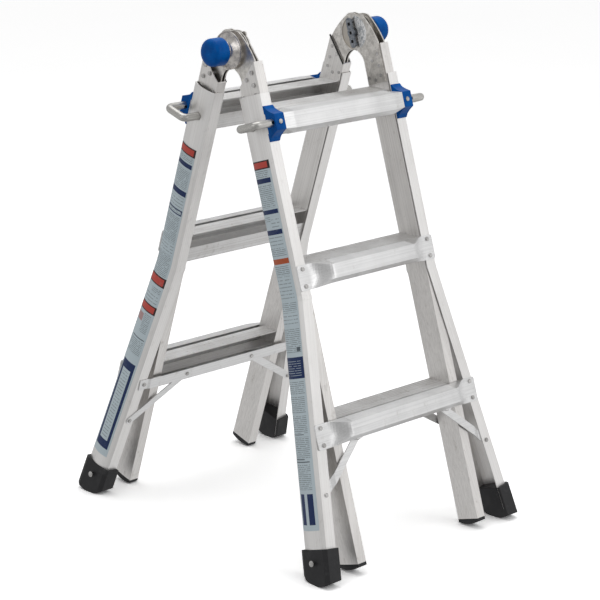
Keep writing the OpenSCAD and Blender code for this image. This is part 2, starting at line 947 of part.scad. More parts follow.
// Diagonal from under the bottom rung, joggled to end behind the front flange
module rung_brace() {
    under = rung_s[2] + rung_down + fit;
    behind_n = outer_front_n - outer_rail_wall - fit - brace_t;
    joggled = [
        [0, front_n], [brace_joggle[0], front_n], [brace_joggle[1], behind_n],
        [brace_low.x + brace_w, behind_n], [brace_low.x + brace_w, behind_n + brace_t],
        [brace_joggle[1] + over, behind_n + brace_t], [brace_joggle[0] + over, front_n + brace_t],
        [0, front_n + brace_t]
    ];
    color(alu)
        difference() {
            union() {
                intersection() {
                    strip([brace_top_x - brace_start.x, under - brace_start.y], brace_low,
                        behind_n - over, front_n - behind_n + brace_t + 2 * over);
                    along(under, brace_low.y + brace_w)
                        polygon(joggled);
                }
                along(under, under + brace_t)
                    translate([brace_top_x - brace_w / 2, front_n])
                        square([brace_w, brace_tab_w]);
            }
            bar_n_dir(brace_low.x, brace_low.y, behind_n - over, front_n, rivet_hole_r);
            brace_tab_hole();
        }
}

// Diagonal from behind the strap to the flange that faces the other section
module strap_brace() {
    color(alu)
        difference() {
            strip(strap_brace_top, strap_brace_low, outer_n - gap - brace_t, brace_t);
            back_hole(strap_brace_top.x, strap_brace_top.y);
            back_hole(strap_brace_low.x, strap_brace_low.y);
        }
}

module outer_rivets() {
    flange_in = outer_front_n - outer_rail_wall;
    back_in = outer_n + outer_rail_wall;
    strap_back = outer_n - gap - strap_t;
    under = rung_s[2] + rung_down;
    color(zinc) {
        rung_rivet_spots()
            rivet_out(0, 0, flange_in, front_n + tab_t);
        rivet_out(brace_low.x, brace_low.y, flange_in - fit - brace_t, outer_front_n);
        rivet_back(strap_rivet_x, strap_s, strap_back, back_in);
        rivet_back(strap_brace_low.x, strap_brace_low.y, outer_n - gap - brace_t, back_in);
        rivet_back(strap_brace_top.x, strap_s, strap_back - strap_t, outer_n - gap);
        rivet_down(brace_top_x, brace_tab_n, under - rung_wall, under + fit + brace_t);
        flared()
            rivet_x(rail_mid_n, foot_rivet_s, foot_face_x - foot_rivet_grip, foot_face_x, foot_rivet_head_r);
    }
}

// Moulded bracket: a block on the rail with a thin hollowed wing above and below
module lock_bracket() {
    half = concat([[front_n, bracket_foot_half]],
        [for (t = [0 : 0.2 : 1])
            [front_n + bracket_step + (bracket_face_n - bracket_corner - front_n - bracket_step) * t,
                bracket_foot_half - (bracket_foot_half - bracket_face_half - bracket_lip) * pow(t, bracket_hollow)]],
        [[bracket_face_n, bracket_face_half]]);
    last = len(half) - 1;
    outline = concat([for (p = half) [p.x, lock_s + p.y]],
        [for (i = [last : -1 : 0]) [half[i].x, lock_s - half[i].y]]);
    color(blue)
        difference() {
            across(bracket_in_x, bracket_out_x)
                polygon(outline);
            across(bracket_in_x - over, bracket_out_x + over)
                translate([front_n - over, lock_s - socket_half - gap])
                    square([over + top_tab_t + gap, 2 * (socket_half + gap)]);
            bar_x_dir(rod_held_n, lock_s, bracket_in_x - over, bracket_out_x + over, bracket_hole_r);
            front_hole(bracket_rivet_x, lock_s);
        }
}

// Rivet through bracket, rod slot, rung tab and rail flange: it also keeps the rod in
module bracket_rivet() {
    color(zinc)
        rivet_out(bracket_rivet_x, lock_s, outer_front_n - outer_rail_wall, bracket_face_n);
}

module elbow() {
    rotate([90, 0, 0])
        rotate_extrude(angle = 90)
            translate([rod_bend_r, 0])
                circle(r = rod_r, $fn = 48);
}

// Bent rod: one leg slides in the bracket, the other locks into the rails
module lock_rod() {
    legs_x = rod_bar_x - rod_bend_r;
    slot_x = bracket_rivet_x - rod_out - rod_slot;
    color(zinc)
        difference() {
            union() {
                bar_x_dir(rod_held_n, lock_s, held_tip_x, legs_x, rod_r);
                bar_x_dir(rod_leg_n, lock_s, rod_tip_x, legs_x, rod_r);
                bar_n_dir(rod_bar_x, lock_s, rod_leg_n + rod_bend_r, rod_held_n - rod_bend_r, rod_r);
                translate([legs_x, -rod_held_n + rod_bend_r, -lock_s])
                    rotate([90, 0, 0])
                        elbow();
                translate([legs_x, -rod_leg_n - rod_bend_r, -lock_s])
                    rotate([-90, 0, 0])
                        elbow();
                bar_x_dir(rod_held_n, lock_s, washer_x - washer_t, washer_x, washer_r);
            }
            translate([slot_x, -rod_held_n - rod_r - over, -lock_s - rod_slot])
                cube([rod_in + rod_out + 2 * rod_slot, 2 * (rod_r + over), 2 * rod_slot]);
        }
}

module lock_spring() {
    color(zinc)
        translate([0, -rod_held_n, -lock_s])
            spring(washer_x + gap, bracket_in_x - gap,
                rod_r + lock_coil_gap, lock_wire_r, coil_turns);
}

// The side of the outer rail that carries the rubber, from its flange outwards
module outward_of(x0) {
    intersection() {
        children();
        translate([x0, 0])
            square(2 * outer_rail_depth);
    }
}

// Rubber foot: a sleeve around the flared rail, a block inside it and a rocking sole
module foot() {
    block_in = outer_rail_wall + gap;
    rail_end = bend_s + flare_len;
    tail_x = foot_face_x - foot_rivet_grip;
    color(rubber)
        intersection() {
            difference() {
                flared() {
                    along(foot_top, rail_end + sole_r)
                        outward_of(flange_x - foot_wall)
                            outer_rail_outline(-foot_wall);
                    along(foot_top, foot_top + over)
                        outward_of(flange_x + over)
                            outer_rail_outline(block_in);
                }
                flared()
                    along(foot_top - over, rail_end + gap)
                        difference() {
                            outer_rail_outline(-gap);
                            outer_rail_outline(block_in);
                        }
                flared() {
                    bar_x_dir(rail_mid_n, foot_rivet_s, flange_x, tail_x, rivet_tail_r + fit);
                    bar_x_dir(rail_mid_n, foot_rivet_s, tail_x - over, foot_face_x + over, rivet_hole_r);
                }
            }
            bar_x_dir(sole_n, sole_s, foot_in_x, foot_out_x, sole_r);
            above_floor();
        }
}

// Everything above the floor, seen from the leaning section
module above_floor() {
    rotate([half_spread, 0, 0])
        translate([0, -hinge_height, -hinge_height])
            cube([hinge_height, hinge_height * 2, hinge_height]);
}

// ---- Named pieces ----

front() left() inner_rail();  // front_inner_rail_left
front() inner_rail();  // front_inner_rail_right
front() inner_rungs();  // front_inner_rungs
front() both_sides() inner_end_cap();  // front_inner_end_caps
front() left() front_hinge_plates(true);  // front_hinge_plates_left
front() front_hinge_plates(false);  // front_hinge_plates_right
front() both_sides() arm_rivet_group(front_inner_plate_x);  // front_hinge_rivets
front() both_sides() pivot_tube();  // hinge_pivot_tubes
front() both_sides() hinge_housing();  // hinge_housings
rear() left() inner_rail();  // rear_inner_rail_left
rear() inner_rail();  // rear_inner_rail_right
rear() inner_rungs();  // rear_inner_rungs
rear() both_sides() inner_end_cap();  // rear_inner_end_caps
rear() left() rear_hinge_plates();  // rear_hinge_plates_left
rear() rear_hinge_plates();  // rear_hinge_plates_right
rear() both_sides() arm_rivet_group(inner_wall_x);  // rear_hinge_rivets
rear() both_sides() hinge_spacer();  // hinge_spacers
front() left() release_knob();  // left_release_knob
front() left() release_shaft();  // left_release_shaft
front() left() lock_bar();  // left_lock_bar
front() left() knob_spring();  // left_knob_spring
front() release_knob();  // right_release_knob
front() release_shaft();  // right_release_shaft
front() lock_bar();  // right_lock_bar
front() knob_spring();  // right_knob_spring
front() left() outer_rail();  // front_outer_rail_left
front() outer_rail();  // front_outer_rail_right
front() outer_top_rung();  // front_outer_top_rung
front() outer_middle_rung();  // front_outer_middle_rung
front() outer_bottom_rung();  // front_outer_bottom_rung
front() strap();  // front_strap
front() both_sides() rung_brace();  // front_rung_braces
front() both_sides() strap_brace();  // front_strap_braces
front() both_sides() outer_rivets();  // front_outer_rivets
front() both_sides() lock_bracket();  // front_lock_brackets
front() both_sides() bracket_rivet();  // front_bracket_rivets
front() both_sides() foot();  // front_feet
rear() left() outer_rail();  // rear_outer_rail_left
rear() outer_rail();  // rear_outer_rail_right
rear() outer_top_rung();  // rear_outer_top_rung
rear() outer_middle_rung();  // rear_outer_middle_rung
rear() outer_bottom_rung();  // rear_outer_bottom_rung
rear() strap();  // rear_strap
rear() both_sides() rung_brace();  // rear_rung_braces
rear() both_sides() strap_brace();  // rear_strap_braces
rear() both_sides() outer_rivets();  // rear_outer_rivets
rear() both_sides() lock_bracket();  // rear_lock_brackets
rear() both_sides() bracket_rivet();  // rear_bracket_rivets
rear() both_sides() foot();  // rear_feet
front() left() lock_rod();  // front_left_lock_rod
front() left() lock_spring();  // front_left_lock_spring
front() lock_rod();  // front_right_lock_rod
front() lock_spring();  // front_right_lock_spring
rear() left() lock_rod();  // rear_left_lock_rod
rear() left() lock_spring();  // rear_left_lock_spring
rear() lock_rod();  // rear_right_lock_rod
rear() lock_spring();  // rear_right_lock_spring
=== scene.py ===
"""Looks of the multi position ladder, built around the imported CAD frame.

Units are metres in the row frame: X along the rungs, Y across the spread, Z up.
Each leaning section also has its own coordinates: x along the rungs, n outward
from the plane through the hinge axis, s down the rails from the hinge axis.
"""

import json
import math

import bpy
from mathutils import Matrix, Vector
from mathutils.bvhtree import BVHTree


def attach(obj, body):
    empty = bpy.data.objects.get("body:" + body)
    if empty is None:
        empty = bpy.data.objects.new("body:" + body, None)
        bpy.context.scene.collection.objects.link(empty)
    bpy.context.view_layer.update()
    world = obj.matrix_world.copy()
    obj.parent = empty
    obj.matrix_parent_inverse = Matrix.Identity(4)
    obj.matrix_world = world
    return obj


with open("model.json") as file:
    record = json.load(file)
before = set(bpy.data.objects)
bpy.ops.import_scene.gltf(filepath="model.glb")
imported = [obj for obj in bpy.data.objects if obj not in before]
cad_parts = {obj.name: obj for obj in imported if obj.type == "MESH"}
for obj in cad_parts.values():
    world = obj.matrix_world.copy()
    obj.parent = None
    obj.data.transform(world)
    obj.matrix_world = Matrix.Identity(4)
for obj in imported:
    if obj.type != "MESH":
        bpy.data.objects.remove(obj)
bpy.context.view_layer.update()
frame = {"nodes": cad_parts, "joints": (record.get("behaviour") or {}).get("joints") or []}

# ---- Directions of the two leaning sections, read from the joints ----

JOINTS = {joint["name"]: joint for joint in frame["joints"]}
HINGE = Vector(JOINTS["fold"]["pos_m"])
FACING = {"front": -1, "rear": 1}
DOWN = {section: Vector(JOINTS[section + "_extend"]["axis"]) for section in FACING}
OUT = {
    section: Vector((0, -facing * DOWN[section].z, facing * DOWN[section].y))
    for section, facing in FACING.items()
}
LEAN = math.atan2(DOWN["rear"].y, -DOWN["rear"].z)

# The outer rails flare outward below a bend
BEND_S = 0.496
FLARE = math.radians(8.53)


def place(section, x, n, s):
    """A point of a leaning section, in the row frame."""
    return HINGE + Vector((x, 0, 0)) + n * OUT[section] + s * DOWN[section]


# Pressed seat of the lock bar in the inner hinge plates, with a painted highlight on its front half, and
# the punched openings of the bar, painted near-black as shade
SEAT_FLOOR_X = 0.162
SEAT_R = 0.0345
SEAT_EDGE_N = 0.008
LOCK_BAR_HOLES = (-0.0185, 0.0, 0.0175)

# ---- Shader building ----


class Shader:
    """A node material built with short calls that return output sockets."""

    def __init__(self, name):
        self.material = bpy.data.materials.new(name)
        self.material.use_nodes = True
        self.tree = self.material.node_tree
        self.surface = self.tree.nodes["Principled BSDF"]
        self.object_point = self.add("ShaderNodeTexCoord").outputs["Object"]

    def add(self, kind, inputs=None, **settings):
        node = self.tree.nodes.new(kind)
        for key, value in settings.items():
            setattr(node, key, value)
        for key, value in (inputs or {}).items():
            self.feed(node.inputs[key], value)
        return node

    def feed(self, socket, value):
        if isinstance(value, bpy.types.NodeSocket):
            self.tree.links.new(value, socket)
        else:
            socket.default_value = value

    def math(self, operation, a, b=0.0, clamp=False):
        node = self.add("ShaderNodeMath", {0: a, 1: b}, operation=operation, use_clamp=clamp)
        return node.outputs[0]

    def vector(self, x, y, z):
        return self.add("ShaderNodeCombineXYZ", {0: x, 1: y, 2: z}).outputs[0]

    def split(self, point):
        return self.add("ShaderNodeSeparateXYZ", {0: point}).outputs

    def stretch(self, point, scale):
        node = self.add("ShaderNodeVectorMath", {0: point, 1: scale}, operation="MULTIPLY")
        return node.outputs[0]

    def turn(self, point, angles):
        node = self.add("ShaderNodeVectorRotate", {"Vector": point, "Rotation": angles},
                        rotation_type="EULER_XYZ")
        return node.outputs[0]

    def noise(self, point, scale=1.0, detail=3.0, roughness=0.5, distortion=0.0):
        node = self.add("ShaderNodeTexNoise", {
            "Vector": point, "Scale": scale, "Detail": detail,
            "Roughness": roughness, "Distortion": distortion})
        return node.outputs["Fac"]

    def ramp(self, value, low, high, start=0.0, end=1.0):
        """Maps value from low..high to start..end, smoothly and clamped."""
        node = self.add("ShaderNodeMapRange", {
            "Value": value, "From Min": low, "From Max": high, "To Min": start, "To Max": end},
            interpolation_type="SMOOTHSTEP")
        return node.outputs["Result"]

    def mix(self, share, a, b):
        node = self.add("ShaderNodeMix", data_type="RGBA")
        self.feed(node.inputs["Factor"], share)
        self.feed(node.inputs[6], a)
        self.feed(node.inputs[7], b)
        return node.outputs[2]

    def rounded(self, radius, samples=4):
        return self.add("ShaderNodeBevel", {"Radius": radius}, samples=samples).outputs[0]

    def bump(self, height, distance, strength=1.0, normal=None):
        node = self.add("ShaderNodeBump", {
            "Height": height, "Distance": distance, "Strength": strength})
        if normal is not None:
            self.feed(node.inputs["Normal"], normal)
        return node.outputs[0]

    def finish(self, **values):
        for key, value in values.items():
            self.feed(self.surface.inputs[key.replace("_", " ").title().replace("Ior", "IOR")], value)
        return self.material


def grey(value, warm=0.0):
    return (value * (1 + warm), value, value * (1 - warm), 1.0)


def section_point(shader, facing):
    """Section coordinates of the shaded point, with the flare of the outer rails undone."""
    x, y, z = shader.split(shader.object_point)
    drop = shader.math("SUBTRACT", HINGE.z, z)
    ahead = shader.math("MULTIPLY", y, float(facing))
    s = shader.math("ADD", shader.math("MULTIPLY", drop, math.cos(LEAN)),
                    shader.math("MULTIPLY", ahead, math.sin(LEAN)))
    n = shader.math("SUBTRACT", shader.math("MULTIPLY", ahead, math.cos(LEAN)),
                    shader.math("MULTIPLY", drop, math.sin(LEAN)))
    past = shader.math("MAXIMUM", shader.math("SUBTRACT", s, BEND_S), 0.0)
    side = shader.math("SIGN", x)
    spread = shader.math("MULTIPLY", shader.math("MULTIPLY", past, math.tan(FLARE)), side)
    return shader.vector(shader.math("SUBTRACT", x, spread), n, s)


def scratches(shader, point, turns, density):
    """Thin random marks: stretched noise at a few angles, kept only at its peaks."""
    marks = 0.0
    for angle in turns:
        turned = shader.turn(point, (angle, angle * 0.7, angle * 1.9))
        lines = shader.noise(shader.stretch(turned, (1500.0, 1500.0, 30.0)), detail=1.0)
        marks = shader.math("MAXIMUM", shader.ramp(lines, 1 - density, 1.02 - density), marks)
    return marks


def aluminium(name, facing, grain, light, dark, rough, soil):
    """Mill finish aluminium. grain is the direction of the extrusion lines: rail or rung."""
    shader = Shader(name)
    point = section_point(shader, facing)
    coarse = (420.0, 420.0, 3.5) if grain == "rail" else (2.5, 420.0, 420.0)
    fine = (2600.0, 2600.0, 14.0) if grain == "rail" else (12.0, 2600.0, 2600.0)
    streaks = shader.noise(shader.stretch(point, coarse), detail=5.0, roughness=0.6)
    hair = shader.noise(shader.stretch(point, fine), detail=2.0)
    cloud = shader.noise(shader.stretch(point, (14.0, 14.0, 7.0)), detail=6.0, roughness=0.62)
    blotch = shader.noise(shader.stretch(point, (60.0, 60.0, 35.0)), detail=5.0, roughness=0.7)
    marks = scratches(shader, point, (0.4, 1.3, 2.2), 0.30)
    tone = shader.math("ADD", shader.math("MULTIPLY", streaks, 0.55),
                       shader.math("MULTIPLY", cloud, 0.45))
    base = shader.mix(shader.ramp(tone, 0.36, 0.64), dark, light)
    base = shader.mix(shader.math("MULTIPLY", shader.ramp(hair, 0.35, 0.7), 0.18), base, grey(0.95))
    stain = shader.math("MULTIPLY", shader.ramp(blotch, 0.56, 0.78), soil)
    base = shader.mix(stain, base, (0.34, 0.31, 0.27, 1.0))
    base = shader.mix(shader.math("MULTIPLY", marks, 0.35), base, grey(0.98))
    roughness = shader.math("ADD", shader.ramp(cloud, 0.3, 0.7, rough - 0.05, rough + 0.10),
                            shader.math("MULTIPLY", marks, 0.08))
    height = shader.math("ADD", shader.math("MULTIPLY", streaks, 0.7),
                         shader.math("MULTIPLY", hair, 0.3))
    height = shader.math("SUBTRACT", height, shader.math("MULTIPLY", marks, 0.5))
    normal = shader.bump(height, 0.00012, 0.55, shader.rounded(0.0006))
    return shader.finish(base_color=base, metallic=1.0, roughness=roughness, normal=normal)


def zinc(name, light, dark, rough, brushed=(90.0, 90.0, 90.0)):
    """Zinc plated steel: a mottled, slightly blue satin skin with fine wear."""
    shader = Shader(name)
    point = shader.object_point
    spangle = shader.noise(shader.stretch(point, brushed), detail=6.0, roughness=0.7)
    fine = shader.noise(point, scale=1400.0, detail=2.0)
    marks = scratches(shader, point, (0.9, 2.0), 0.29)
    base = shader.mix(shader.ramp(spangle, 0.34, 0.66), dark, light)
    base = shader.mix(shader.math("MULTIPLY", marks, 0.3), base, grey(0.95))
    roughness = shader.ramp(spangle, 0.3, 0.7, rough + 0.08, rough - 0.05)
    height = shader.math("ADD", shader.math("MULTIPLY", spangle, 0.5),
                         shader.math("MULTIPLY", fine, 0.5))
    normal = shader.bump(height, 0.00008, 0.6, shader.rounded(0.0005))
    return shader.finish(base_color=base, metallic=1.0, roughness=roughness, normal=normal)


def plastic(name):
    """Blue moulded plastic with a faint moulding texture and rubbed spots."""
    shader = Shader(name)
    point = shader.object_point
    cloud = shader.noise(point, scale=38.0, detail=5.0, roughness=0.6)
    grain = shader.noise(point, scale=1900.0, detail=2.0)
    marks = scratches(shader, point, (0.7, 1.9), 0.29)
    base = shader.mix(shader.ramp(cloud, 0.3, 0.7), (0.0, 0.075, 0.33, 1), (0.0, 0.115, 0.45, 1))
    base = shader.mix(shader.math("MULTIPLY", marks, 0.18), base, (0.10, 0.34, 0.74, 1))
    roughness = shader.ramp(cloud, 0.3, 0.7, 0.18, 0.28)
    normal = shader.bump(grain, 0.00006, 0.5, shader.rounded(0.0012))
    return shader.finish(base_color=base, roughness=roughness, normal=normal,
                         specular_ior_level=0.08)


def lock_seat_zinc(name, light, dark, rough):
    """Hinge plate zinc, with the pressed seat of the lock bar crinkled and whitened as a painted
    highlight on its front half, and made darker and browner in patches on its back half."""
    shader = Shader(name)
    point = shader.object_point
    spangle = shader.noise(shader.stretch(point, (90.0, 90.0, 90.0)), detail=6.0, roughness=0.7)
    x, n, s = shader.split(section_point(shader, FACING["front"]))
    reach = shader.math("SQRT", shader.math("ADD", shader.math("MULTIPLY", n, n),
                                            shader.math("MULTIPLY", s, s)))
    inner_face = shader.math("LESS_THAN", shader.math("ABSOLUTE", x), SEAT_FLOOR_X)
    inside = shader.math("MULTIPLY", inner_face, shader.math("LESS_THAN", reach, SEAT_R))
    # Painted highlight on the front half of the seat: whitened, less metallic and smoother
    seat_front_painted_light = shader.math("MULTIPLY", inside, shader.math("GREATER_THAN", n, SEAT_EDGE_N))
    # The back half of the seat is made darker and browner in patches
    seat_back_darkened = shader.math("MULTIPLY", inside, shader.math("LESS_THAN", n, -SEAT_EDGE_N))
    crinkle = shader.noise(shader.stretch(point, (150.0, 150.0, 70.0)), detail=4.0,
                           roughness=0.65, distortion=1.6)
    # The crinkle pattern is the seat's own texture; the white it rises to is painted highlight
    crinkle_to_painted_white = shader.mix(shader.ramp(crinkle, 0.40, 0.54), (0.40, 0.43, 0.46, 1), (1.0, 1.0, 1.0, 1))
    base = shader.mix(shader.ramp(spangle, 0.34, 0.66), dark, light)
    base = shader.mix(seat_front_painted_light, base, crinkle_to_painted_white)
    base = shader.mix(shader.math("MULTIPLY", seat_back_darkened, shader.ramp(spangle, 0.3, 0.7, 0.2, 0.75)),
                      base, (0.36, 0.31, 0.24, 1))
    roughness = shader.ramp(spangle, 0.3, 0.7, rough + 0.08, rough - 0.05)
    roughness = shader.math("SUBTRACT", roughness, shader.math("MULTIPLY", seat_front_painted_light, 0.10))
    metallic = shader.math("SUBTRACT", 1.0, shader.math("MULTIPLY", seat_front_painted_light, 0.75))
    height = shader.math("MULTIPLY", crinkle, shader.ramp(seat_front_painted_light, 0.0, 1.0, 0.05, 1.0))
    normal = shader.bump(height, 0.0008, 0.8, shader.rounded(0.0005))
    return shader.finish(base_color=base, metallic=metallic, roughness=roughness, normal=normal)


def lock_bar_steel(name):
    """Dark oiled steel of the lock bars, with square punched openings down their middle painted
    near-black as the shade inside them.
    """
    shader = Shader(name)
    point = shader.object_point
    cloud = shader.noise(point, scale=160.0, detail=5.0, roughness=0.7)
    _, n, s = shader.split(section_point(shader, FACING["front"]))
    hole_shade_mask = 0.0
    for middle in LOCK_BAR_HOLES:
        across = shader.math("ABSOLUTE", n)
        along = shader.math("ABSOLUTE", shader.math("SUBTRACT", s, middle))
        size = shader.math("MAXIMUM", across, along)
        hole_shade_mask = shader.math("MAXIMUM", shader.ramp(size, 0.0034, 0.0029), hole_shade_mask)
    base = shader.mix(shader.ramp(cloud, 0.35, 0.65), (0.15, 0.17, 0.20, 1), (0.34, 0.36, 0.39, 1))
    # Painted shade: the openings are coloured near-black, standing in for the shade inside them
    base = shader.mix(hole_shade_mask, base, (0.01, 0.01, 0.012, 1))
    height = shader.math("SUBTRACT", shader.math("MULTIPLY", cloud, 0.2), hole_shade_mask)
    normal = shader.bump(height, 0.0006, 0.9, shader.rounded(0.0005))
    return shader.finish(base_color=base, metallic=0.85, roughness=0.38, normal=normal)


def rubber(name):
    """Matt black moulded rubber, dusty in patches."""
    shader = Shader(name)
    point = shader.object_point
    cloud = shader.noise(point, scale=45.0, detail=6.0, roughness=0.65)
    grain = shader.noise(point, scale=1200.0, detail=3.0)
    dust = shader.math("MULTIPLY", shader.ramp(cloud, 0.52, 0.75), 0.35)
    base = shader.mix(dust, (0.012, 0.012, 0.014, 1), (0.085, 0.085, 0.088, 1))
    roughness = shader.ramp(cloud, 0.3, 0.7, 0.48, 0.66)
    normal = shader.bump(grain, 0.0001, 0.7, shader.rounded(0.0012))
    return shader.finish(base_color=base, roughness=roughness, normal=normal)


# ---- Materials of the CAD nodes ----


def make_materials():
    made = {
        "hinge": zinc("hinge_zinc", (0.86, 0.83, 0.79, 1), (0.56, 0.54, 0.51, 1), 0.34),
        "housing": zinc("housing_zinc", (0.80, 0.76, 0.72, 1), (0.44, 0.42, 0.42, 1), 0.22),
        # Inner hinge plates: zinc with a painted highlight on the front half of the lock bar seat
        "seat": lock_seat_zinc("lock_seat_zinc", (0.84, 0.81, 0.77, 1), (0.56, 0.54, 0.51, 1), 0.34),
        # Lock bars: dark steel with painted shade in their punched openings
        "lock_bar": lock_bar_steel("lock_bar_steel"),
        "rivet": zinc("rivet_zinc", (0.72, 0.71, 0.70, 1), (0.40, 0.39, 0.38, 1), 0.24),
        "rod": zinc("rod_zinc", (0.66, 0.65, 0.62, 1), (0.50, 0.49, 0.47, 1), 0.34,
                    brushed=(30.0, 400.0, 400.0)),
        "spring": zinc("spring_steel", (0.62, 0.62, 0.63, 1), (0.42, 0.42, 0.43, 1), 0.30),
        "plastic": plastic("blue_plastic"),
        "rubber": rubber("black_rubber"),
    }
    for section, facing in FACING.items():
        made[section + "_outer_rail"] = aluminium(
            section + "_outer_rail_aluminium", facing, "rail",
            grey(0.93, 0.015), grey(0.82, 0.02), 0.38, 0.22)
        made[section + "_inner_rail"] = aluminium(
            section + "_inner_rail_aluminium", facing, "rail",
            grey(0.87, 0.025), grey(0.70, 0.03), 0.38, 0.5)
        made[section + "_rung"] = aluminium(
            section + "_rung_aluminium", facing, "rung", grey(0.90), grey(0.74), 0.34, 0.25)
        made[section + "_inner_rung"] = aluminium(
            section + "_inner_rung_aluminium", facing, "rung", grey(0.82), grey(0.60, 0.02), 0.38, 0.6)
    return made


def material_key(node):
    section = "rear" if node.startswith("rear") else "front"
    rules = [
        ("spring", "spring"), ("rivets", "rivet"), ("pivot", "rivet"), ("spacers", "rivet"),
        ("lock_rod", "rod"), ("shaft", "lock_bar"), ("lock_bar", "lock_bar"), ("housings", "housing"),
        ("front_hinge", "seat"), ("hinge", "hinge"),
        ("end_caps", "rubber"), ("feet", "rubber"), ("knob", "plastic"), ("brackets", "plastic"),
        ("inner_rungs", section + "_inner_rung"), ("rung", section + "_rung"),
        ("strap", section + "_rung"), ("inner_rail", section + "_inner_rail"),
        ("outer_rail", section + "_outer_rail"),
    ]
    return next(key for part, key in rules if part in node)


def dress_nodes(materials):
    for name, node in frame["nodes"].items():
        node.data.materials.clear()
        node.data.materials.append(materials[material_key(name)])


# ---- Labels on the webs of the left outer rails ----

# Every mark on a label is a plain bar or a field of fine lines: no lettering is drawn.
# Blocks are (ink, from s, to s, from n, to n) in millimetres; later blocks lie on top.
FRONT_LABEL = (
    ("paper", 222, 936, 8, 57),
    ("black", 222, 238.5, 8, 57), ("red", 224.5, 236, 9.5, 52),
    ("lines", 241, 254, 10, 50), ("navy", 256, 265.5, 8, 53),
    ("lines", 269, 314, 10, 52), ("navy", 317.5, 326, 8, 55),
    ("lines", 331, 341, 10, 30), ("sparse", 331, 353, 32, 53), ("navy", 357, 366.5, 8, 55),
    ("sparse", 371, 390, 10, 52), ("lines", 391, 410, 10, 54), ("orange", 414, 424.5, 8, 56),
    ("lines", 428, 447, 10, 53), ("sparse", 449, 497, 10, 52), ("lines", 500, 516, 10, 54),
    ("sparse", 519, 546, 9, 54), ("lines", 549, 596, 10, 55), ("grey", 586, 594, 45, 53),
    ("navy", 605, 646, 8, 57), ("fine", 609, 642, 10, 51),
    ("lines", 650, 676, 10, 54), ("lines", 679, 711, 10, 52), ("lines", 717, 750, 10, 52),
    ("grey", 752, 753.5, 8, 42), ("lines", 757, 797, 10, 53), ("grey", 799, 801, 8, 38),
    ("grey", 804, 806, 8, 50), ("lines", 810, 858, 10, 50),
    ("navy", 866, 925, 13, 26), ("navy", 866, 925, 35, 50),
)
REAR_LABEL = (
    ("paper", 226, 946, 18, 65),
    ("black", 226, 244, 18, 65), ("red", 228.5, 241.5, 22, 64),
    ("lines", 246, 259, 22, 62), ("navy", 261, 270.5, 20, 65),
    ("lines", 275, 318, 22, 62), ("navy", 321.5, 333, 20, 65),
    ("sparse", 337, 361, 22, 62), ("navy", 364.5, 376.5, 20, 65), ("lines", 367, 374, 22, 64),
    ("lines", 380, 440, 22, 62), ("sparse", 442, 470, 22, 62), ("lines", 472, 520, 22, 63),
    ("black", 523, 543.5, 18, 65), ("red", 526, 541, 22, 64),
    ("lines", 550, 562, 22, 48), ("sparse", 563, 586, 22, 62),
    ("black", 589, 607, 18, 65), ("red", 591.5, 604.5, 22, 64),
    ("pink", 615, 632, 46, 63), ("lines", 612, 655, 24, 44), ("grey", 667, 669, 22, 60),
    ("lines", 672, 706, 22, 62),
    ("navy", 726, 930, 22, 62), ("paper", 744, 912, 29, 55), ("sparse", 750, 906, 33, 51),
)
LABELS = {"front": FRONT_LABEL, "rear": REAR_LABEL}
LABEL_LIFT = 0.00025
LABEL_LAYER = 0.00012
# Largest size of a grid cell of a label across and along the web, in millimetres
LABEL_CELL = (4, 5)
# The sheets are cast on the webs from this x, beyond the left side of the ladder
CAST_FROM_X = -0.4
INKS = {
    "paper": (0.62, 0.72, 0.77, 1), "navy": (0.012, 0.032, 0.12, 1), "red": (0.62, 0.085, 0.065, 1),
    "black": (0.045, 0.025, 0.025, 1), "orange": (0.52, 0.11, 0.04, 1),
    "grey": (0.12, 0.15, 0.17, 1), "pink": (0.52, 0.33, 0.33, 1),
}
# Fields of fine lines: paper colour, ink, pitch in metres, share of the field inked
LINED = {
    "lines": ("paper", "grey", 0.0036, 0.44),
    "sparse": ("paper", "grey", 0.0070, 0.26),
    "fine": ("navy", "paper", 0.0045, 0.30),
}


def ink(name, facing):
    """Print on a glossy film, slightly faded and scuffed."""
    shader = Shader("label_" + name)
    point = shader.object_point
    wear = shader.noise(point, scale=70.0, detail=6.0, roughness=0.7)
    ripple = shader.noise(point, scale=900.0, detail=2.0)
    if name in LINED:
        under, over, pitch, share = LINED[name]
        _, n, s = shader.split(section_point(shader, facing))
        row = shader.math("FRACT", shader.math("DIVIDE", s, pitch))
        line = shader.ramp(row, share + 0.12, share - 0.12)
        line = shader.math("MULTIPLY", line, shader.ramp(row, 0.0, 0.12))
        rows = shader.math("FLOOR", shader.math("DIVIDE", s, pitch))
        breaks = shader.noise(shader.vector(shader.math("MULTIPLY", n, 260.0),
                                            shader.math("MULTIPLY", rows, 7.3), 0.0), detail=1.0)
        line = shader.math("MULTIPLY", line, shader.ramp(breaks, 0.36, 0.46))
        base = shader.mix(shader.math("MULTIPLY", line, 0.7), INKS[under], INKS[over])
    else:
        base = INKS[name]
    base = shader.mix(shader.ramp(wear, 0.55, 0.85, 0.0, 0.30), base, (0.46, 0.48, 0.48, 1))
    normal = shader.bump(ripple, 0.00003, 0.4)
    return shader.finish(base_color=base, roughness=shader.ramp(wear, 0.3, 0.7, 0.34, 0.48),
                         normal=normal, specular_ior_level=0.3)


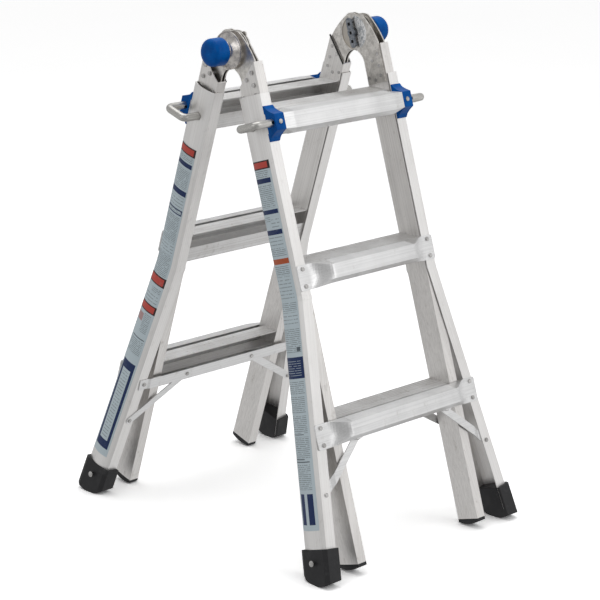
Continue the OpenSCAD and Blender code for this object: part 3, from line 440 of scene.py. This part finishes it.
def web_sheet(surface, section, block, lift):
    """Grid of points over a block of a label, laid on the web of the rail."""
    _, s0, s1, n0, n1 = block
    columns = max(2, round((n1 - n0) / LABEL_CELL[0]))
    rows = max(1, round((s1 - s0) / LABEL_CELL[1]))
    points = []
    for row in range(rows + 1):
        for column in range(columns + 1):
            n = (n0 + (n1 - n0) * column / columns) / 1000
            s = (s0 + (s1 - s0) * row / rows) / 1000
            hit = surface.ray_cast(place(section, CAST_FROM_X, n, s), Vector((1, 0, 0)))[0]
            points.append(hit - Vector((lift, 0, 0)))
    faces = []
    for row in range(rows):
        for column in range(columns):
            first = row * (columns + 1) + column
            faces.append((first, first + 1, first + columns + 2, first + columns + 1))
    return points, faces


def overlaps(a, b):
    return a[1] < b[2] and b[1] < a[2] and a[3] < b[4] and b[3] < a[4]


def label(section):
    """One printed film on the left outer rail of a section, its blocks stacked thinly."""
    rail = frame["nodes"][section + "_outer_rail_left"]
    surface = BVHTree.FromObject(rail, bpy.context.evaluated_depsgraph_get())
    points, faces, inks = [], [], []
    names = sorted({block[0] for block in LABELS[section]})
    for number, block in enumerate(LABELS[section]):
        below = sum(overlaps(block, earlier) for earlier in LABELS[section][:number])
        lift = LABEL_LIFT + LABEL_LAYER * below
        new_points, new_faces = web_sheet(surface, section, block, lift)
        start = len(points)
        points += new_points
        faces += [tuple(start + corner for corner in face) for face in new_faces]
        inks += [names.index(block[0])] * len(new_faces)
    mesh = bpy.data.meshes.new(section + "_label")
    mesh.from_pydata(points, [], faces)
    for face, number in zip(mesh.polygons, inks):
        face.material_index = number
        face.use_smooth = True
    for name in names:
        mesh.materials.append(ink(name, FACING[section]))
    sheet = bpy.data.objects.new(section + "_label", mesh)
    bpy.context.scene.collection.objects.link(sheet)
    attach(sheet, section + "_outer")


# ---- Painted shadow line: a dark strip on the slanted tops of the rear inner rails ----

SEAM_SHADOW_X = (0.1622, 0.1636)
SEAM_SHADOW_PATH = ((0.0640, 0.0320), (0.0090, 0.0745))
SEAM_SHADOW_WIDE = 0.0034


def seam_shadow_strip():
    """A thin dark strip along the cut of each rear inner rail, on the side facing the rungs, put there
    as a painted shadow line for the shade in the seam.
    """
    (n0, s0), (n1, s1) = SEAM_SHADOW_PATH
    run = Vector((n1 - n0, s1 - s0)).normalized()
    side = Vector((-run.y, run.x)) * SEAM_SHADOW_WIDE
    outline = [(n0, s0), (n1, s1), (n1 - side.x, s1 - side.y), (n0 - side.x, s0 - side.y)]
    points, faces = [], []
    for sign in (-1, 1):
        start = len(points)
        points += [place("rear", sign * x, n, s) for x in SEAM_SHADOW_X for n, s in outline]
        faces += [(start, start + 1, start + 2, start + 3), (start + 7, start + 6, start + 5, start + 4)]
        faces += [(start + k, start + (k + 1) % 4, start + 4 + (k + 1) % 4, start + 4 + k)
                  for k in range(4)]
    mesh = bpy.data.meshes.new("rear_rail_seam_shadow")
    mesh.from_pydata(points, [], faces)
    # Near-black rubber shader, here standing in for the shade in the seam
    mesh.materials.append(rubber("seam_shadow_black"))
    shadow_piece = bpy.data.objects.new("rear_rail_seam_shadow", mesh)
    bpy.context.scene.collection.objects.link(shadow_piece)
    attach(shadow_piece, "rear_inner")


# ---- Studio ----

FLOOR_WHITE = 1.7
FLOOR_REACH = 12.0
SURROUND = 0.40
# Soft glows of the surround: direction, half angle in degrees, strength
GLOWS = (
    ((0.70, -0.70, 0.12), 75, 0.27),
    ((0.70, 0.67, 0.30), 70, 0.20),
    ((0.60, -0.45, -0.60), 60, 0.16),
    ((0.0, 0.0, 1.0), 70, 0.12),
    ((-0.70, 0.67, -0.27), 60, 0.18),
)


def soft_light(name, location, target, size, power, tint=(1, 1, 1)):
    light = bpy.data.lights.new(name, "AREA")
    light.shape = "RECTANGLE"
    light.size, light.size_y = size
    light.energy = power
    light.color = tint
    lamp = bpy.data.objects.new(name, light)
    lamp.location = location
    aim = Vector(target) - Vector(location)
    lamp.rotation_euler = aim.to_track_quat("-Z", "Y").to_euler()
    bpy.context.scene.collection.objects.link(lamp)


def studio_floor():
    mesh = bpy.data.meshes.new("studio_floor")
    corners = [(x * FLOOR_REACH, y * FLOOR_REACH, 0) for x, y in ((-1, -1), (1, -1), (1, 1), (-1, 1))]
    mesh.from_pydata(corners, [], [(0, 1, 2, 3)])
    floor = bpy.data.objects.new("studio_floor", mesh)
    bpy.context.scene.collection.objects.link(floor)
    shader = Shader("pale_floor")
    cloud = shader.noise(shader.object_point, scale=1.5, detail=3.0)
    seen = shader.add("ShaderNodeLightPath").outputs["Is Camera Ray"]
    base = shader.mix(seen, grey(0.5), shader.mix(cloud, grey(FLOOR_WHITE), grey(FLOOR_WHITE * 1.02)))
    floor.data.materials.append(shader.finish(base_color=base, roughness=1.0, specular_ior_level=0.0))
    floor.visible_glossy = False


def studio_world():
    """A pale surround: white to the camera, and to the metal a soft gradient like large light boxes."""
    world = bpy.data.worlds.new("studio")
    bpy.context.scene.world = world
    world.use_nodes = True
    tree = world.node_tree
    link = tree.links.new
    direction = tree.nodes.new("ShaderNodeTexCoord").outputs["Generated"]

    def value_node(operation, a, b):
        node = tree.nodes.new("ShaderNodeMath")
        node.operation = operation
        for socket, value in zip(node.inputs, (a, b)):
            if isinstance(value, float):
                socket.default_value = value
            else:
                link(value, socket)
        return node.outputs[0]

    level = SURROUND
    for aim, width, gain in GLOWS:
        dot = tree.nodes.new("ShaderNodeVectorMath")
        dot.operation = "DOT_PRODUCT"
        link(direction, dot.inputs[0])
        dot.inputs[1].default_value = Vector(aim).normalized()
        glow = tree.nodes.new("ShaderNodeMapRange")
        glow.interpolation_type = "SMOOTHSTEP"
        glow.inputs["From Min"].default_value = math.cos(math.radians(width))
        glow.inputs["To Max"].default_value = gain
        link(dot.outputs["Value"], glow.inputs["Value"])
        level = value_node("ADD", level, glow.outputs["Result"])
    seen = tree.nodes.new("ShaderNodeLightPath").outputs["Is Camera Ray"]
    level = value_node("MAXIMUM", level, seen)
    background = tree.nodes["Background"]
    background.inputs["Color"].default_value = grey(1.0)
    link(level, background.inputs["Strength"])


# Where the camera stands, its turn from the y axis, tilt and roll in degrees, and its lens
CAMERA_PLACE = (-2.944, -3.023, 1.635)
CAMERA_ANGLES = (44.36, -15.76, 0.46)
CAMERA_LENS = 127.7


def studio_camera():
    yaw, pitch, roll = (math.radians(angle) for angle in CAMERA_ANGLES)
    aim = Vector((math.sin(yaw) * math.cos(pitch), math.cos(yaw) * math.cos(pitch), math.sin(pitch)))
    level = Vector((math.cos(yaw), -math.sin(yaw), 0))
    upright = level.cross(aim)
    right = level * math.cos(roll) + upright * math.sin(roll)
    up = upright * math.cos(roll) - level * math.sin(roll)
    camera = bpy.data.objects.new("camera", bpy.data.cameras.new("camera"))
    camera.matrix_world = Matrix((right, up, -aim)).transposed().to_4x4()
    camera.location = CAMERA_PLACE
    camera.data.lens = CAMERA_LENS
    camera.data.clip_end = 60
    bpy.context.scene.collection.objects.link(camera)
    bpy.context.scene.camera = camera


def studio():
    studio_floor()
    studio_world()
    studio_camera()
    soft_light("key", (1.2, -3.4, 2.4), (0, 0, 0.5), (2.4, 2.2), 19)
    soft_light("fill", (-3.4, -0.6, 2.0), (0, 0, 0.5), (1.6, 2.0), 8)
    soft_light("top", (0.2, 0.4, 3.4), (0, 0, 0.4), (2.6, 2.6), 26)
    view = bpy.context.scene.view_settings
    view.view_transform = "Standard"


dress_nodes(make_materials())
for section in FACING:
    label(section)
# Dark strips as painted shadow lines along the cuts of the rear inner rails
seam_shadow_strip()
studio()
